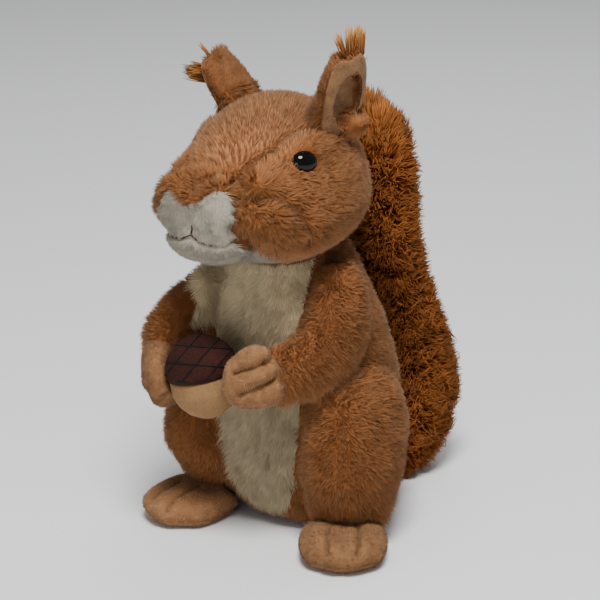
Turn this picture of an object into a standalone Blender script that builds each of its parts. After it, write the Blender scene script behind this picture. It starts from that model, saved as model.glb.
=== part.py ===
"""A plush toy squirrel, 28 cm tall to the ear tufts, that sits up on its hind feet and holds a stuffed acorn.

The frame: +Z up, the squirrel faces -Y and its left side is +X. The origin is on the floor, at the middle of
the flat seat under the trunk. Every solid reaches to the tips of its plush, and touching solids keep a gap of
GAP. Sizes below are in millimetres. Each form is a loft through a few named sections, and where two forms
meet, one is cut back from the other.
"""

import math

import bmesh
import bpy
import numpy as np
from mathutils import Matrix

MM = 0.001
GAP = 0.35  # clearance between neighbours, given by the cutters
SIDE = {"left": 1.0, "right": -1.0}

HIP_HALF_WIDTH = 57  # half the trunk at the hips
NOSE_FRONT = -104  # how far forward the snout reaches
LOBE_RADII = (14, 13.5, 18.5)  # each half of the upper lip
LOBE_SPREAD = 12.2
LOBE_FRONT = -104.5
LOBE_HEIGHT = 191
LOBE_TILT = 16  # degrees, the tops of the lobes lean apart
CHIN_RADII = (26, 22, 14.5)
CHIN_PLACE = (0, -81, 174)
EYE_RADII = (6.5, 6.5, 5.0)  # a domed safety eye, its last size through the dome
EYE_PLACE = (34.5, -49.5, 213)  # the left eye
EAR_BASE = (31, -17, 224)
EAR_TIP = {"left": (45, -26, 266.5), "right": (-46, -27, 256)}
EAR_AIM = 78  # degrees outwards from straight ahead
EAR_HOLLOW = (9.5, 8, 16.5)  # half width, depth and half height of its hollow
TUFT_TIP = {"left": (45, -22, 280), "right": (-60, -31, 249)}
ACORN_PLACE = (-10, -79, 95)
ACORN_RADIUS = 19.5
ACORN_HEIGHT = 47
ACORN_LEAN = 12  # degrees, its top towards the right hand
FOOT_LENGTH = 58
FOOT_WIDTH = 48
FOOT_THICK = 16
FOOT_PLACE = {"left": (62, -50), "right": (-43, -51)}
FOOT_TURN = {"left": 36, "right": -5}  # degrees outwards

# Colour and roughness of each fabric or plastic.
FINISHES = {
    "tan_plush": ((0.36, 0.17, 0.075), 0.95),
    "cream_plush": ((0.55, 0.50, 0.42), 0.95),
    "beige_velour": ((0.46, 0.28, 0.16), 0.9),
    "orange_fibre": ((0.40, 0.20, 0.09), 0.9),
    "rust_plush": ((0.22, 0.085, 0.02), 0.95),
    "black_plastic": ((0.008, 0.008, 0.009), 0.12),
    "brown_felt": ((0.065, 0.024, 0.018), 0.9),
    "nut_velour": ((0.48, 0.36, 0.22), 0.9),
}


def clear_scene():
    for obj in list(bpy.data.objects):
        bpy.data.objects.remove(obj)


def finish(name):
    material = bpy.data.materials.get(name) or bpy.data.materials.new(name)
    material.use_nodes = True
    colour, roughness = FINISHES[name]
    shader = material.node_tree.nodes["Principled BSDF"]
    shader.inputs["Base Color"].default_value = (*colour, 1)
    shader.inputs["Roughness"].default_value = roughness
    return material


# ---------------------------------------------------------------- lofting


def through(knots, count):
    """Rows read from a smooth curve (Catmull-Rom) through the knots, evenly spaced, ends included."""
    knots = np.array(knots, float)
    padded = np.vstack([2 * knots[0] - knots[1], knots, 2 * knots[-1] - knots[-2]])
    rows = []
    for t in np.linspace(0, len(knots) - 1, count):
        i = min(int(t), len(knots) - 2)
        f = t - i
        a, b, c, d = padded[i : i + 4]
        square, cube = 2 * a - 5 * b + 4 * c - d, 3 * b - a - 3 * c + d
        rows.append(0.5 * (2 * b + (c - a) * f + square * f**2 + cube * f**3))
    return np.array(rows)


def oval(sides, across_size, upward_size, downward_size=None, taper=0.0, power=2.0):
    """A closed section as (across, upward) pairs. taper narrows its upper half."""
    turn = np.arange(sides) * 2 * math.pi / sides
    c, s = np.cos(turn), np.sin(turn)
    low = upward_size if downward_size is None else downward_size
    across = np.sign(c) * np.abs(c) ** (2 / power) * across_size * (1 - taper * np.clip(s, 0, 1))
    upward = np.sign(s) * np.abs(s) ** (2 / power) * np.where(s > 0, upward_size, low)
    return np.stack([across, upward], 1)


def placed(section, centre, across, upward):
    """The pairs of a section as points in space."""
    return np.array(centre, float) + section[:, :1] * np.array(across) + section[:, 1:] * np.array(upward)


def turned(degrees):
    """The across and forward directions of a form turned about the vertical, left of the squirrel first."""
    angle = math.radians(degrees)
    return (math.cos(angle), math.sin(angle), 0), (math.sin(angle), -math.cos(angle), 0)


def loft(name, rings, finish_name, start=None, end=None):
    """One closed object through rings of equal length. start and end are its tips, by default the middles of
    the first and last rings."""
    first_tip = rings[0].mean(0) if start is None else np.array(start, float)
    last_tip = rings[-1].mean(0) if end is None else np.array(end, float)
    mesh = bmesh.new()
    loops = [[mesh.verts.new(point * MM) for point in ring] for ring in rings]
    first, last = (mesh.verts.new(tip * MM) for tip in (first_tip, last_tip))
    sides = len(loops[0])
    for i in range(sides):
        j = (i + 1) % sides
        mesh.faces.new((first, loops[0][j], loops[0][i]))
        mesh.faces.new((last, loops[-1][i], loops[-1][j]))
        for low, high in zip(loops, loops[1:]):
            mesh.faces.new((low[i], low[j], high[j], high[i]))
    bmesh.ops.recalc_face_normals(mesh, faces=mesh.faces)
    data = bpy.data.meshes.new(name)
    mesh.to_mesh(data)
    mesh.free()
    data.shade_smooth()
    data.materials.append(finish(finish_name))
    obj = bpy.data.objects.new(name, data)
    bpy.context.scene.collection.objects.link(obj)
    return obj


def upright(name, stations, count, sides, finish_name):
    """A loft of level sections. Each station is height, front, back, half width."""
    rings = []
    for height, front, back, half_width in through(stations, count):
        section = oval(sides, half_width, (back - front) / 2, power=2.15)
        rings.append(placed(section, (0, (front + back) / 2, height), (1, 0, 0), (0, 1, 0)))
    return loft(name, rings, finish_name)


def tube(name, stations, count, sides, finish_name, hint=(0, 0, 1), power=2.0):
    """A loft along a bent spine. Each station is x, y, z, half size across, half size along the hint."""
    rows = through(stations, count)
    spine = rows[:, :3]
    along = np.gradient(spine, axis=0)
    rings = []
    for place, direction, across_size, up_size in zip(spine, along, rows[:, 3], rows[:, 4]):
        direction = direction / np.linalg.norm(direction)
        across = np.cross(direction, hint)
        across = across / np.linalg.norm(across)
        upward = np.cross(across, direction)
        rings.append(placed(oval(sides, across_size, up_size, power=power), place, across, upward))
    return loft(name, rings, finish_name)


def ball(name, centre, radii, finish_name, sides=18, rows=10, tilt=(0, 0, 0), power=2.0):
    """An ellipsoid, tilted by degrees about X, Y and Z in that order. A higher power squares its plan."""
    turn = Matrix.Identity(3)
    for angle, axis in zip(tilt, "XYZ"):
        turn = Matrix.Rotation(math.radians(angle), 3, axis) @ turn
    turn = np.array(turn)
    rings = []
    for i in range(1, rows):
        polar = math.pi * i / rows
        section = oval(sides, radii[0], radii[1], power=power) * math.sin(polar)
        points = np.column_stack([section, np.full(sides, -radii[2] * math.cos(polar))])
        rings.append(points @ turn.T + np.array(centre))
    low, high = (np.array(centre) + turn @ np.array((0, 0, z)) for z in (-radii[2], radii[2]))
    return loft(name, rings, finish_name, start=low, end=high)


# ---------------------------------------------------------------- cutting


def boolean(obj, other, operation):
    modifier = obj.modifiers.new(f"{operation.lower()}_{other.name}", "BOOLEAN")
    modifier.operation = operation
    modifier.object = other
    modifier.solver = "EXACT"


def as_helper(obj):
    obj.hide_render = True
    obj.display_type = "WIRE"
    return obj


def grown(obj):
    """A hidden copy of a form, bigger all round by the gap."""
    copy = obj.copy()
    copy.data = obj.data.copy()
    copy.name = f"{obj.name}_grown"
    bpy.context.scene.collection.objects.link(copy)
    swell = copy.modifiers.new("swell", "DISPLACE")
    swell.mid_level = 0
    swell.strength = GAP * MM
    return as_helper(copy)


def cut_by(obj, *others):
    for other in others:
        boolean(obj, other, "DIFFERENCE")


# ---------------------------------------------------------------- trunk and head


def trunk():
    """The seated body, from a flat seat up to the neck inside the head."""
    wide = HIP_HALF_WIDTH
    stations = [  # height, front, back, half width
        (0, -27, 30, wide - 22),
        (5, -37, 40, wide - 12),
        (15, -45, 47, wide - 5),
        (31, -50, 50, wide - 1),
        (53, -52, 50, wide),
        (78, -52, 45, wide - 4),
        (104, -52, 37, wide - 5),
        (128, -50, 28, wide - 12),
        (148, -44, 20, wide - 21),
        (164, -38, 10, wide - 31),
        (174, -27, -1, wide - 44),
    ]
    return upright("trunk", stations, 16, 24, "tan_plush")


def head():
    """Skull, cheeks and snout in one loft from the nape to the nose."""
    nose = NOSE_FRONT
    stations = [  # place, top, height of the widest part, underside, half width, narrowing upwards
        (20, 209, 193, 178, 19, 0.05),
        (12, 224, 191, 168, 32, 0.08),
        (0, 235, 189, 161, 43, 0.12),
        (-16, 241, 187, 156, 50, 0.16),
        (-34, 243, 185, 153, 52.5, 0.20),
        (-52, 238, 184, 153, 51, 0.24),
        (-67, 229, 184, 157, 46, 0.20),
        (-80, 219, 187, 166, 37, 0.12),
        (-90, 210, 192, 177, 29, 0.04),
        (nose + 6, 204, 195, 186, 19, 0),
        (nose + 1, 200, 196, 192, 8, 0),
    ]
    rings = []
    for place, top, widest, bottom, half_width, narrowing in through(stations, 15):
        section = oval(22, half_width, top - widest, widest - bottom, narrowing, 2.1)
        rings.append(placed(section, (0, place, widest), (1, 0, 0), (0, 0, 1)))
    return loft("head", rings, "tan_plush", start=(0, 23, 194), end=(0, nose, 196))


def muzzle(name, swell=0.0):
    """Two upper-lip lobes and the chin in one. swell makes it bigger all round."""
    lobes = []
    for x in (LOBE_SPREAD, -LOBE_SPREAD):
        tilt = (0, math.copysign(LOBE_TILT, x), 0)
        radii = np.array(LOBE_RADII) + swell
        centre = (x, LOBE_FRONT + LOBE_RADII[1], LOBE_HEIGHT)
        lobes.append(ball(f"{name}_lobe_{x}", centre, radii, "cream_plush", tilt=tilt, power=2.5))
    chin = ball(f"{name}_chin", CHIN_PLACE, np.array(CHIN_RADII) + swell, "cream_plush", power=2.4)
    for part in (lobes[1], chin):
        boolean(lobes[0], as_helper(part), "UNION")
    lobes[0].name = name
    return lobes[0]


def eye(side):
    x, y, z = EYE_PLACE
    out = SIDE[side]
    return ball(f"eye_{side}", (x * out, y, z), EYE_RADII, "black_plastic", 14, 7, (0, 70 * out, -28 * out))


def ear(side):
    """A stuffed leaf that leans outwards, with a hollow that looks outwards and a little forward."""
    base, tip = np.array(EAR_BASE) * np.array((SIDE[side], 1, 1)), np.array(EAR_TIP[side])
    rise = (tip - base) / np.linalg.norm(tip - base)
    aim = math.radians(EAR_AIM)
    facing = np.array((math.sin(aim) * SIDE[side], -math.cos(aim), 0))
    facing = facing - rise * facing.dot(rise)
    facing = facing / np.linalg.norm(facing)
    across = np.cross(rise, facing)
    stations = [  # share of the height, half width, size to the front, size to the back
        (-0.15, 13, 6, 11),
        (0.08, 14.5, 7, 12),
        (0.30, 16, 7.5, 12),
        (0.55, 16, 7.5, 10.5),
        (0.76, 15, 7, 8.5),
        (0.92, 12.5, 6, 7),
        (1.00, 9, 4.5, 5),
    ]
    rings = []
    for share, half_width, front, back in through(stations, 10):
        rings.append(placed(oval(18, half_width, front, back), base + (tip - base) * share, across, facing))
    leaf = loft(f"ear_{side}", rings, "tan_plush")
    middle = base + (tip - base) * 0.46 + facing * 6
    bowl = []
    for polar in np.linspace(0.35, math.pi - 0.35, 7):
        size = math.sin(polar)
        centre = middle - rise * EAR_HOLLOW[2] * math.cos(polar)
        bowl.append(placed(oval(14, EAR_HOLLOW[0], EAR_HOLLOW[1]) * size, centre, across, facing))
    boolean(leaf, as_helper(loft(f"ear_hollow_{side}", bowl, "tan_plush")), "DIFFERENCE")
    return leaf


def ear_tuft(side):
    """The bunch of long fibres at the tip of the ear."""
    top = np.array(TUFT_TIP[side])
    root = np.array(EAR_TIP[side]) - (2 * SIDE[side], -2, 5)
    stations = []
    for share, size in ((0, 3.5), (0.3, 6.5), (0.6, 7), (0.85, 5), (1, 1.5)):
        stations.append((*(root + (top - root) * share), size * 0.7, size))
    return tube(f"ear_tuft_{side}", stations, 7, 10, "orange_fibre", hint=(0.5, 1, 0))


# ---------------------------------------------------------------- limbs


def arm(side):
    stations = {  # x, y, z, half size fore and aft or upwards, half size sideways
        "left": [
            (32, -18, 152, 10, 10),
            (38, -23, 141, 17, 14),
            (41, -28, 124, 21, 16),
            (41, -37, 108, 21, 16),
            (36, -51, 101, 19, 16),
            (30, -62, 99, 19, 15),
            (26, -69, 98, 17, 12),
        ],
        "right": [
            (-31, -22, 145, 10, 10),
            (-37, -30, 134, 15, 13),
            (-43, -41, 123, 18, 15),
            (-47, -54, 112, 19, 17.5),
            (-47, -66, 103, 17, 16),
            (-44, -73, 96, 13, 13),
            (-40, -78, 91, 10, 10),
        ],
    }
    return tube(f"arm_{side}", stations[side], 11, 14, "tan_plush", hint=(0.9 * SIDE[side], -0.4, 0))


def hand(side):
    """A flat mitten of three fingers laid against the acorn."""
    stations = {
        "left": [
            (33, -60, 96, 9, 8),
            (28, -69, 97, 14, 9),
            (21, -78, 99, 16.5, 9.5),
            (15, -85, 101, 13, 7.5),
            (12, -88, 102, 7, 4),
        ],
        "right": [
            (-45, -72, 100, 10, 8),
            (-41, -80, 94, 15, 8),
            (-34, -85, 86, 15, 8),
            (-28, -88, 80, 10, 6),
        ],
    }
    hint = {"left": (0.6, -1, 0), "right": (-1, -0.5, 0)}
    return tube(f"hand_{side}", stations[side], 8, 14, "beige_velour", hint=hint[side], power=2.3)


def leg(side):
    """The haunch, from the foot up to the hip."""
    stations = {  # height, x, y, half size across, half size fore and aft
        "left": [
            (3, 48, -32, 15, 15),
            (8, 49, -29, 20, 18),
            (18, 50, -28, 24, 23),
            (34, 49, -26, 27.5, 34),
            (50, 47, -21, 29, 40),
            (66, 45, -17, 28, 40),
            (82, 42, -14, 24, 34),
            (95, 39, -12, 16, 22),
            (101, 37, -12, 7, 9),
        ],
        "right": [
            (3, -41, -32, 13, 14),
            (8, -42, -29, 17, 16),
            (18, -43, -28, 21, 20),
            (34, -47, -27, 23.5, 31),
            (50, -49, -23, 24.5, 38),
            (66, -47, -19, 24, 38),
            (82, -43, -16, 20.5, 31),
            (95, -38, -14, 15, 20),
            (101, -36, -13, 7, 9),
        ],
    }
    across, forward = turned(FOOT_TURN[side] * SIDE[side] * 0.5)
    rings = []
    for height, x, y, half_width, reach in through(stations[side], 13):
        rings.append(placed(oval(16, half_width, reach), (x, y, height), across, forward))
    return loft(f"leg_{side}", rings, "tan_plush")


def foot(side):
    """A stuffed pad with three toes."""
    across, forward = turned(FOOT_TURN[side] * SIDE[side])
    x, y = FOOT_PLACE[side]
    turn = np.radians(np.arange(30) * 12)
    toes = 1 + 0.05 * np.cos(6 * (turn - math.pi / 2)) * np.clip(np.sin(turn), 0, 1) ** 2
    outline = oval(30, FOOT_WIDTH / 2, FOOT_LENGTH / 2, power=2.5) * toes[:, None]
    swelling = [(0, 0.68), (0.08, 0.83), (0.25, 0.95), (0.5, 1), (0.72, 0.97), (0.9, 0.86), (1, 0.66)]
    rings = []
    for height, share in swelling:
        rings.append(placed(outline * share, (x, y, height * FOOT_THICK), across, forward))
    return loft(f"foot_{side}", rings, "beige_velour")


# ---------------------------------------------------------------- tail and acorn


def tail():
    """Lies against the rump and the floor, then rises behind the back to a blunt top."""
    stations = [  # height, front, back, half width
        (0, 50, 86, 22),
        (3, 46, 96, 27),
        (10, 44, 107, 31),
        (24, 44, 119, 34),
        (45, 46, 125, 35),
        (62, 49, 122, 35),
        (80, 52, 113, 34.5),
        (100, 49, 101, 34),
        (125, 41, 89, 33.5),
        (150, 34, 80, 33),
        (175, 32, 78, 33),
        (197, 33, 75, 31),
        (212, 36, 72, 26),
        (222, 41, 69, 20),
        (228, 47, 63, 10),
    ]
    return upright("tail", stations, 20, 18, "rust_plush")


def acorn_form(name, profile, finish_name):
    """A form of revolution about the leaning axis of the acorn, from pairs of height and radius."""
    lean = math.radians(ACORN_LEAN)
    axis = np.array((-math.sin(lean) * 0.85, -math.sin(lean) * 0.5, math.cos(lean)))
    axis = axis / np.linalg.norm(axis)
    across = np.cross(axis, (0, 1, 0))
    across = across / np.linalg.norm(across)
    forward = np.cross(axis, across)
    rings = []
    for height, radius in profile:
        rings.append(placed(oval(22, radius, radius), ACORN_PLACE + axis * height, across, forward))
    return loft(name, rings, finish_name)


def acorn_cap():
    """The domed cap, from pairs of height and radius as shares of the acorn's."""
    dome = [(0.05, 0.86), (0.07, 0.97), (0.18, 1), (0.4, 0.96), (0.62, 0.81), (0.81, 0.57), (0.93, 0.33)]
    dome.append((0.99, 0.1))
    high = ACORN_HEIGHT / 2
    return acorn_form("acorn_cap", [(high * h, ACORN_RADIUS * r) for h, r in dome], "brown_felt")


def acorn_nut():
    """The rounded nut under the cap."""
    bowl = [(-1, 0.08), (-0.93, 0.32), (-0.78, 0.61), (-0.57, 0.82), (-0.32, 0.93), (0, 0.93)]
    high = ACORN_HEIGHT / 2
    profile = [(high * h, ACORN_RADIUS * r) for h, r in bowl]
    profile.append((0.05 * high - GAP, 0.92 * ACORN_RADIUS))
    return acorn_form("acorn_nut", profile, "nut_velour")


# ---------------------------------------------------------------- all together


def main():
    clear_scene()
    body, skull, snout, brush = trunk(), head(), muzzle("muzzle"), tail()
    cap, nut = acorn_cap(), acorn_nut()
    eyes = {side: eye(side) for side in SIDE}
    ears = {side: ear(side) for side in SIDE}
    tufts = {side: ear_tuft(side) for side in SIDE}
    arms = {side: arm(side) for side in SIDE}
    hands = {side: hand(side) for side in SIDE}
    legs = {side: leg(side) for side in SIDE}
    feet = {side: foot(side) for side in SIDE}
    body_cutter, skull_cutter = grown(body), grown(skull)
    snout_cutter = as_helper(muzzle("muzzle_room", GAP))
    acorn_cutters = [grown(cap), grown(nut)]
    cut_by(snout, body_cutter)
    cut_by(skull, body_cutter, snout_cutter, *(grown(eyes[side]) for side in SIDE))
    for side in SIDE:
        hand_cutter, arm_cutter = grown(hands[side]), grown(arms[side])
        cut_by(hands[side], *acorn_cutters, body_cutter)
        cut_by(arms[side], body_cutter, skull_cutter, snout_cutter, hand_cutter, *acorn_cutters)
        cut_by(legs[side], body_cutter, grown(feet[side]), arm_cutter)
        cut_by(feet[side], body_cutter)
        cut_by(tufts[side], skull_cutter, grown(ears[side]))
        cut_by(ears[side], skull_cutter)
    cut_by(brush, body_cutter, skull_cutter)


main()
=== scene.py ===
"""Dresses the solids of the plush squirrel in sewn skins, pile of solid tufts, velour, thread and plastic.

Places and sizes here are in millimetres in the solids' own frame: +Z up, facing -Y, its left at +X. A skin is
the smoothed form of some solids, moved inwards by the depth of its pile, so that the pile's tips reach the
solids. The last unnamed number in a call that draws at random is its seed.
"""

import math

import bmesh
import bpy
import numpy as np
from mathutils import Matrix, Vector
from mathutils.bvhtree import BVHTree
from mathutils.kdtree import KDTree


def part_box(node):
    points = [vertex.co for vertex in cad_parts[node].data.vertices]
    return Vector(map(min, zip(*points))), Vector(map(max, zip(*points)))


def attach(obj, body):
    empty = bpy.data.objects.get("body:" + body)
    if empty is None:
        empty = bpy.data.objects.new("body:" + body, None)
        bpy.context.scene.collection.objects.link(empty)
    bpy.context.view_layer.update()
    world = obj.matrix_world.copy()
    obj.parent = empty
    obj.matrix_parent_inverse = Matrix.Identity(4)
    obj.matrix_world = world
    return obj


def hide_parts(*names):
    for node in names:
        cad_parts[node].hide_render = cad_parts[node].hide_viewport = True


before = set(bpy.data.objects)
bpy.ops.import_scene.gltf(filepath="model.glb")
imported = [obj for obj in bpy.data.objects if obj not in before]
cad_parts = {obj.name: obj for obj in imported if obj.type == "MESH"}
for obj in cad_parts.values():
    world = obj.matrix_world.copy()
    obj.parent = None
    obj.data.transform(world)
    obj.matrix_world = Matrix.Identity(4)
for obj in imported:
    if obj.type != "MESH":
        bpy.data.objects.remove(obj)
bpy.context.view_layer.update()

MM = 0.001
SIDE = {"left": 1.0, "right": -1.0}
UP = np.array((0, 0, 1.0))
FACE = ["head", "muzzle"]
FLESH = ["trunk", "arm_left", "arm_right", "leg_left", "leg_right"]
PAWS = ["hand_left", "hand_right", "foot_left", "foot_right"]

BODY_PILE = 4.5  # how far the plush stands off its backing
FACE_PILE = 4.2
MUZZLE_PILE = 1.6
EAR_PILE = 2.0
VELOUR_PILE = 0.7

# Linear colours of the pile at its root, middle and tip.
TAN = [(0.20, 0.064, 0.018), (0.26, 0.099, 0.033), (0.34, 0.168, 0.078)]
WHITE = [(0.37, 0.32, 0.24), (0.47, 0.42, 0.335), (0.53, 0.48, 0.39)]
CREAM = [(0.46, 0.360, 0.205), (0.53, 0.42, 0.255), (0.57, 0.465, 0.30)]
RUST = [(0.08, 0.018, 0.002), (0.165, 0.042, 0.007), (0.35, 0.126, 0.034)]
GOLD = [(0.09, 0.023, 0.003), (0.165, 0.047, 0.008), (0.36, 0.142, 0.038)]
FIBRE = [(0.11, 0.035, 0.008), (0.33, 0.130, 0.035), (0.53, 0.28, 0.09)]
VELOUR = (0.25, 0.122, 0.053)
VELOUR_NAP = [(0.19, 0.088, 0.036), (0.30, 0.150, 0.067), (0.42, 0.235, 0.122)]
NUT_CLOTH = (0.235, 0.132, 0.058)
FELT_CLOTH = (0.030, 0.0098, 0.0072)
LINING = [(0.12, 0.060, 0.028), (0.22, 0.120, 0.058)]
BROWN_THREAD = (0.035, 0.012, 0.006)
BLACK_THREAD = (0.003, 0.0025, 0.003)
BLACK_PLASTIC = (0.002, 0.0018, 0.002)


# ---------------- helpers


def middle(node):
    """The middle of a solid's box."""
    low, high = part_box(node)
    return np.array((low + high) / 2) / MM


def unit(vectors):
    return vectors / np.maximum(np.linalg.norm(vectors, axis=-1, keepdims=True), 1e-9)


def ramp(values, low, high):
    """0 below low, 1 above high, smooth between."""
    share = np.clip((np.asarray(values, float) - low) / (high - low), 0, 1)
    return share * share * (3 - 2 * share)


def bell(values, centre, width):
    """1 at the centre, and almost 0 from twice the width away."""
    return np.exp(-(((values - centre) / width) ** 2))


def ripple(points, size, seed):
    """Smooth noise of about -1 to 1 whose bumps are size across, a sum of waves in all directions."""
    count = 20
    rng = np.random.default_rng(seed)
    waves = unit(rng.normal(size=(count, 3))) * (2 * math.pi / size) * rng.uniform(0.6, 1.3, (count, 1))
    return np.cos(points @ waves.T + rng.uniform(0, 2 * math.pi, count)).sum(1) / math.sqrt(count / 2) * 0.7


def swirl(points, size, seed):
    """A smooth field of directions."""
    return np.stack([ripple(points, size, seed + i) for i in range(3)], 1)


def fetched(items, key, width, kind=np.float32):
    """One property of all items, a row for each."""
    values = np.empty(len(items) * width, kind)
    items.foreach_get(key, values)
    return values.reshape(-1, width)


def read(mesh):
    """Points and vertex normals of a mesh."""
    points = fetched(mesh.vertices, "co", 3).astype(float) / MM
    return points, fetched(mesh.vertex_normals, "vector", 3).astype(float)


def write(mesh, points):
    mesh.vertices.foreach_set("co", (points * MM).astype(np.float32).ravel())
    mesh.update()


def put(mesh, **layers):
    """Stores numbers under some names: one for each vertex, or the same for all."""
    for name, values in layers.items():
        layer = mesh.attributes.new(name, "FLOAT", "POINT")
        layer.data.foreach_set("value", np.array(np.broadcast_to(values, len(mesh.vertices)), np.float32))


def solid(node):
    """The mesh of a solid."""
    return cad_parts[node].data


def tree_of(*meshes):
    """A search tree over the surfaces of some meshes, in metres."""
    vertices, faces = [], []
    for mesh in meshes:
        start = len(vertices)
        vertices += [v.co for v in mesh.vertices]
        faces += [[start + i for i in face.vertices] for face in mesh.polygons]
    return BVHTree.FromPolygons(vertices, faces)


def distance_to(nodes, points):
    """How far each point stands off some solids, less than 0 inside them."""
    tree = tree_of(*map(solid, nodes))
    result = np.empty(len(points))
    for i, point in enumerate(points):
        place = Vector(point * MM)
        near, normal, _, away = tree.find_nearest(place)
        result[i] = math.copysign(away, (place - near).dot(normal)) / MM
    return result


def distance_to_line(points, line):
    """Distance of each point from a chain of straight pieces."""
    best = np.full(len(points), 1e9)
    line = np.array(line, float)
    for start, end in zip(line, line[1:]):
        step = end - start
        share = np.clip((points - start) @ step / (step @ step), 0, 1)
        best = np.minimum(best, np.linalg.norm(points - start - share[:, None] * step, axis=1))
    return best


def both(places):
    """A place or line on the left side, and its mirror image."""
    places = np.array(places, float)
    return [places, places * (-1, 1, 1)]


def ellipsoid(centre, half_axes):
    """The matrix that turns a ball into this ellipsoid, in metres."""
    matrix = Matrix((half_axes * MM).T.tolist()).to_4x4()
    matrix.translation = Vector(centre) * MM
    return matrix


def linked(name, data):
    """A new object in the scene."""
    obj = bpy.data.objects.new(name, data)
    bpy.context.scene.collection.objects.link(obj)
    return obj


def add(name, mesh, node_names, slot, material):
    """A new piece that stands for some solids, or goes with them."""
    mesh.name = name
    obj = linked(name, mesh)
    mesh.materials.clear()
    mesh.materials.append(material)
    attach(obj, "root")
    if node_names:
        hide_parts(*node_names)
    return obj


# ---------------- materials


class Shader:
    """A new Principled material, and short ways to add nodes."""

    def __init__(self, name, roughness, sheen=0.0, shine=0.25):
        self.material = bpy.data.materials.new(name)
        self.material.use_nodes = True
        self.tree = self.material.node_tree
        self.out = self.tree.nodes["Principled BSDF"]
        self.fill(self.out, {"Roughness": roughness, "Specular IOR Level": shine, "Sheen Weight": sheen})
        self.fill(self.out, {"Sheen Roughness": 0.5, "Sheen Tint": (1.0, 0.74, 0.52, 1)})

    def fill(self, node, inputs):
        """Links sockets to a node's inputs, or sets them to values."""
        for key, value in inputs.items():
            if isinstance(value, bpy.types.NodeSocket):
                self.tree.links.new(value, node.inputs[key])
            else:
                node.inputs[key].default_value = value

    def add(self, kind, output, inputs, **settings):
        """Adds a node and gives one of its outputs."""
        node = self.tree.nodes.new(kind)
        for key, value in settings.items():
            setattr(node, key, value)
        self.fill(node, inputs)
        return node.outputs[output]

    def attribute(self, name):
        return self.add("ShaderNodeAttribute", "Fac", {}, attribute_name=name)

    def noise(self, scale, detail):
        place = self.add("ShaderNodeTexCoord", "Object", {})
        inputs = {"Vector": place, "Scale": scale, "Detail": detail, "Roughness": 0.6}
        return self.add("ShaderNodeTexNoise", "Fac", inputs)

    def ramp(self, value, colours, places):
        node = self.tree.nodes.new("ShaderNodeValToRGB")
        elements = node.color_ramp.elements
        while len(elements) < len(colours):
            elements.new(0.5)
        for element, place, colour in zip(elements, places, colours):
            element.position = place
            element.color = (*colour, 1)
        self.fill(node, {"Fac": value})
        return node.outputs["Color"]

    def mix(self, share, first, second):
        return self.add("ShaderNodeMix", 2, {0: share, 6: first, 7: second}, data_type="RGBA")

    def value_map(self, value, low, high):
        return self.add("ShaderNodeMapRange", "Result", {"Value": value, "To Min": low, "To Max": high})

    def bright(self, colour, value):
        return self.add("ShaderNodeHueSaturation", "Color", {"Color": colour, "Value": value})

    def bump(self, height, strength, distance):
        inputs = {"Height": height, "Strength": strength, "Distance": distance}
        self.fill(self.out, {"Normal": self.add("ShaderNodeBump", "Normal", inputs)})

    def colour(self, socket):
        self.fill(self.out, {"Base Color": socket})


def pile_material(name, first, second=None, sheen=0.08, patches=0.12):
    """Pile coloured from root to tip, in patches, with a second colour where the cream attribute is 1."""
    shader = Shader(name, 0.82, sheen, 0.1)
    along = shader.attribute("along")
    colour = shader.ramp(along, first, (0, 0.55, 1))
    if second:
        colour = shader.mix(shader.attribute("cream"), colour, shader.ramp(along, second, (0, 0.5, 1)))
    colour = shader.bright(colour, shader.attribute("tone"))
    nap = shader.value_map(shader.noise(70, 2), 1 - patches, 1 + patches)
    shader.colour(shader.bright(colour, nap))
    return shader.material


def velour_material(name, base, depth=0.00025, sheen=0.15, uneven=0.25, grain=0.2):
    """Close-cropped cloth with a fine nap."""
    shader = Shader(name, 0.88, sheen, 0.1)
    dark, light = (tuple(c * k for c in base) for k in (1 - uneven, 1 + uneven))
    broad = shader.ramp(shader.noise(95, 4), [dark, base, light], (0.3, 0.5, 0.72))
    fine = shader.value_map(shader.noise(1100, 3), 1 - grain, 1 + grain)
    # Painted shade: the cloth darkens along the seams and the sole's groove, where the deep attribute is
    # high.
    seam_shade = shader.value_map(shader.attribute("deep"), 1.0, 0.62)
    shader.colour(shader.bright(shader.bright(broad, fine), seam_shade))
    shader.bump(shader.noise(1000, 4), 0.6, depth)
    return shader.material


def plain_material(name, base, roughness, speckle=0.15):
    shader = Shader(name, roughness)
    dark, light = (tuple(c * k for c in base) for k in (1 - speckle, 1 + speckle))
    shader.colour(shader.ramp(shader.noise(900, 2), [dark, light], (0.35, 0.65)))
    return shader.material


def ear_material():
    """Tan backing outside, velour where the lining attribute is 1."""
    shader = Shader("ear_cloth", 0.88, 0.12, 0.1)
    lining = shader.ramp(shader.noise(120, 4), LINING, (0.35, 0.65))
    tan = shader.ramp(shader.noise(120, 4), TAN[:2], (0.3, 0.8))
    shader.colour(shader.mix(shader.attribute("lining"), tan, lining))
    shader.bump(shader.noise(1500, 4), 0.5, 0.0002)
    return shader.material


HEAD_PLUSH = pile_material("head_plush", TAN, WHITE)
BODY_PLUSH = pile_material("body_plush", TAN, CREAM)
TAIL_FUR = pile_material("tail_fur", RUST, GOLD, sheen=0.0, patches=0.2)
FIBRES = pile_material("ear_fibre", FIBRE, sheen=0.0)
PAW = velour_material("paw_velour", VELOUR)
NUT = velour_material("nut_velour", NUT_CLOTH, depth=0.0003, sheen=0.05, uneven=0.06, grain=0.45)
FELT = velour_material("cap_felt", FELT_CLOTH, depth=0.0006, sheen=0.0, uneven=0.2, grain=0.7)
STITCH = plain_material("stitch_thread", BROWN_THREAD, 0.7)
BLACK = plain_material("black_thread", BLACK_THREAD, 0.9)
GLOSS = plain_material("eye_plastic", BLACK_PLASTIC, 0.06, 0.02)
EAR_CLOTH = ear_material()
NAP = pile_material("velour_nap", VELOUR_NAP, sheen=0.12, patches=0.15)


# ---------------- skins


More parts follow.
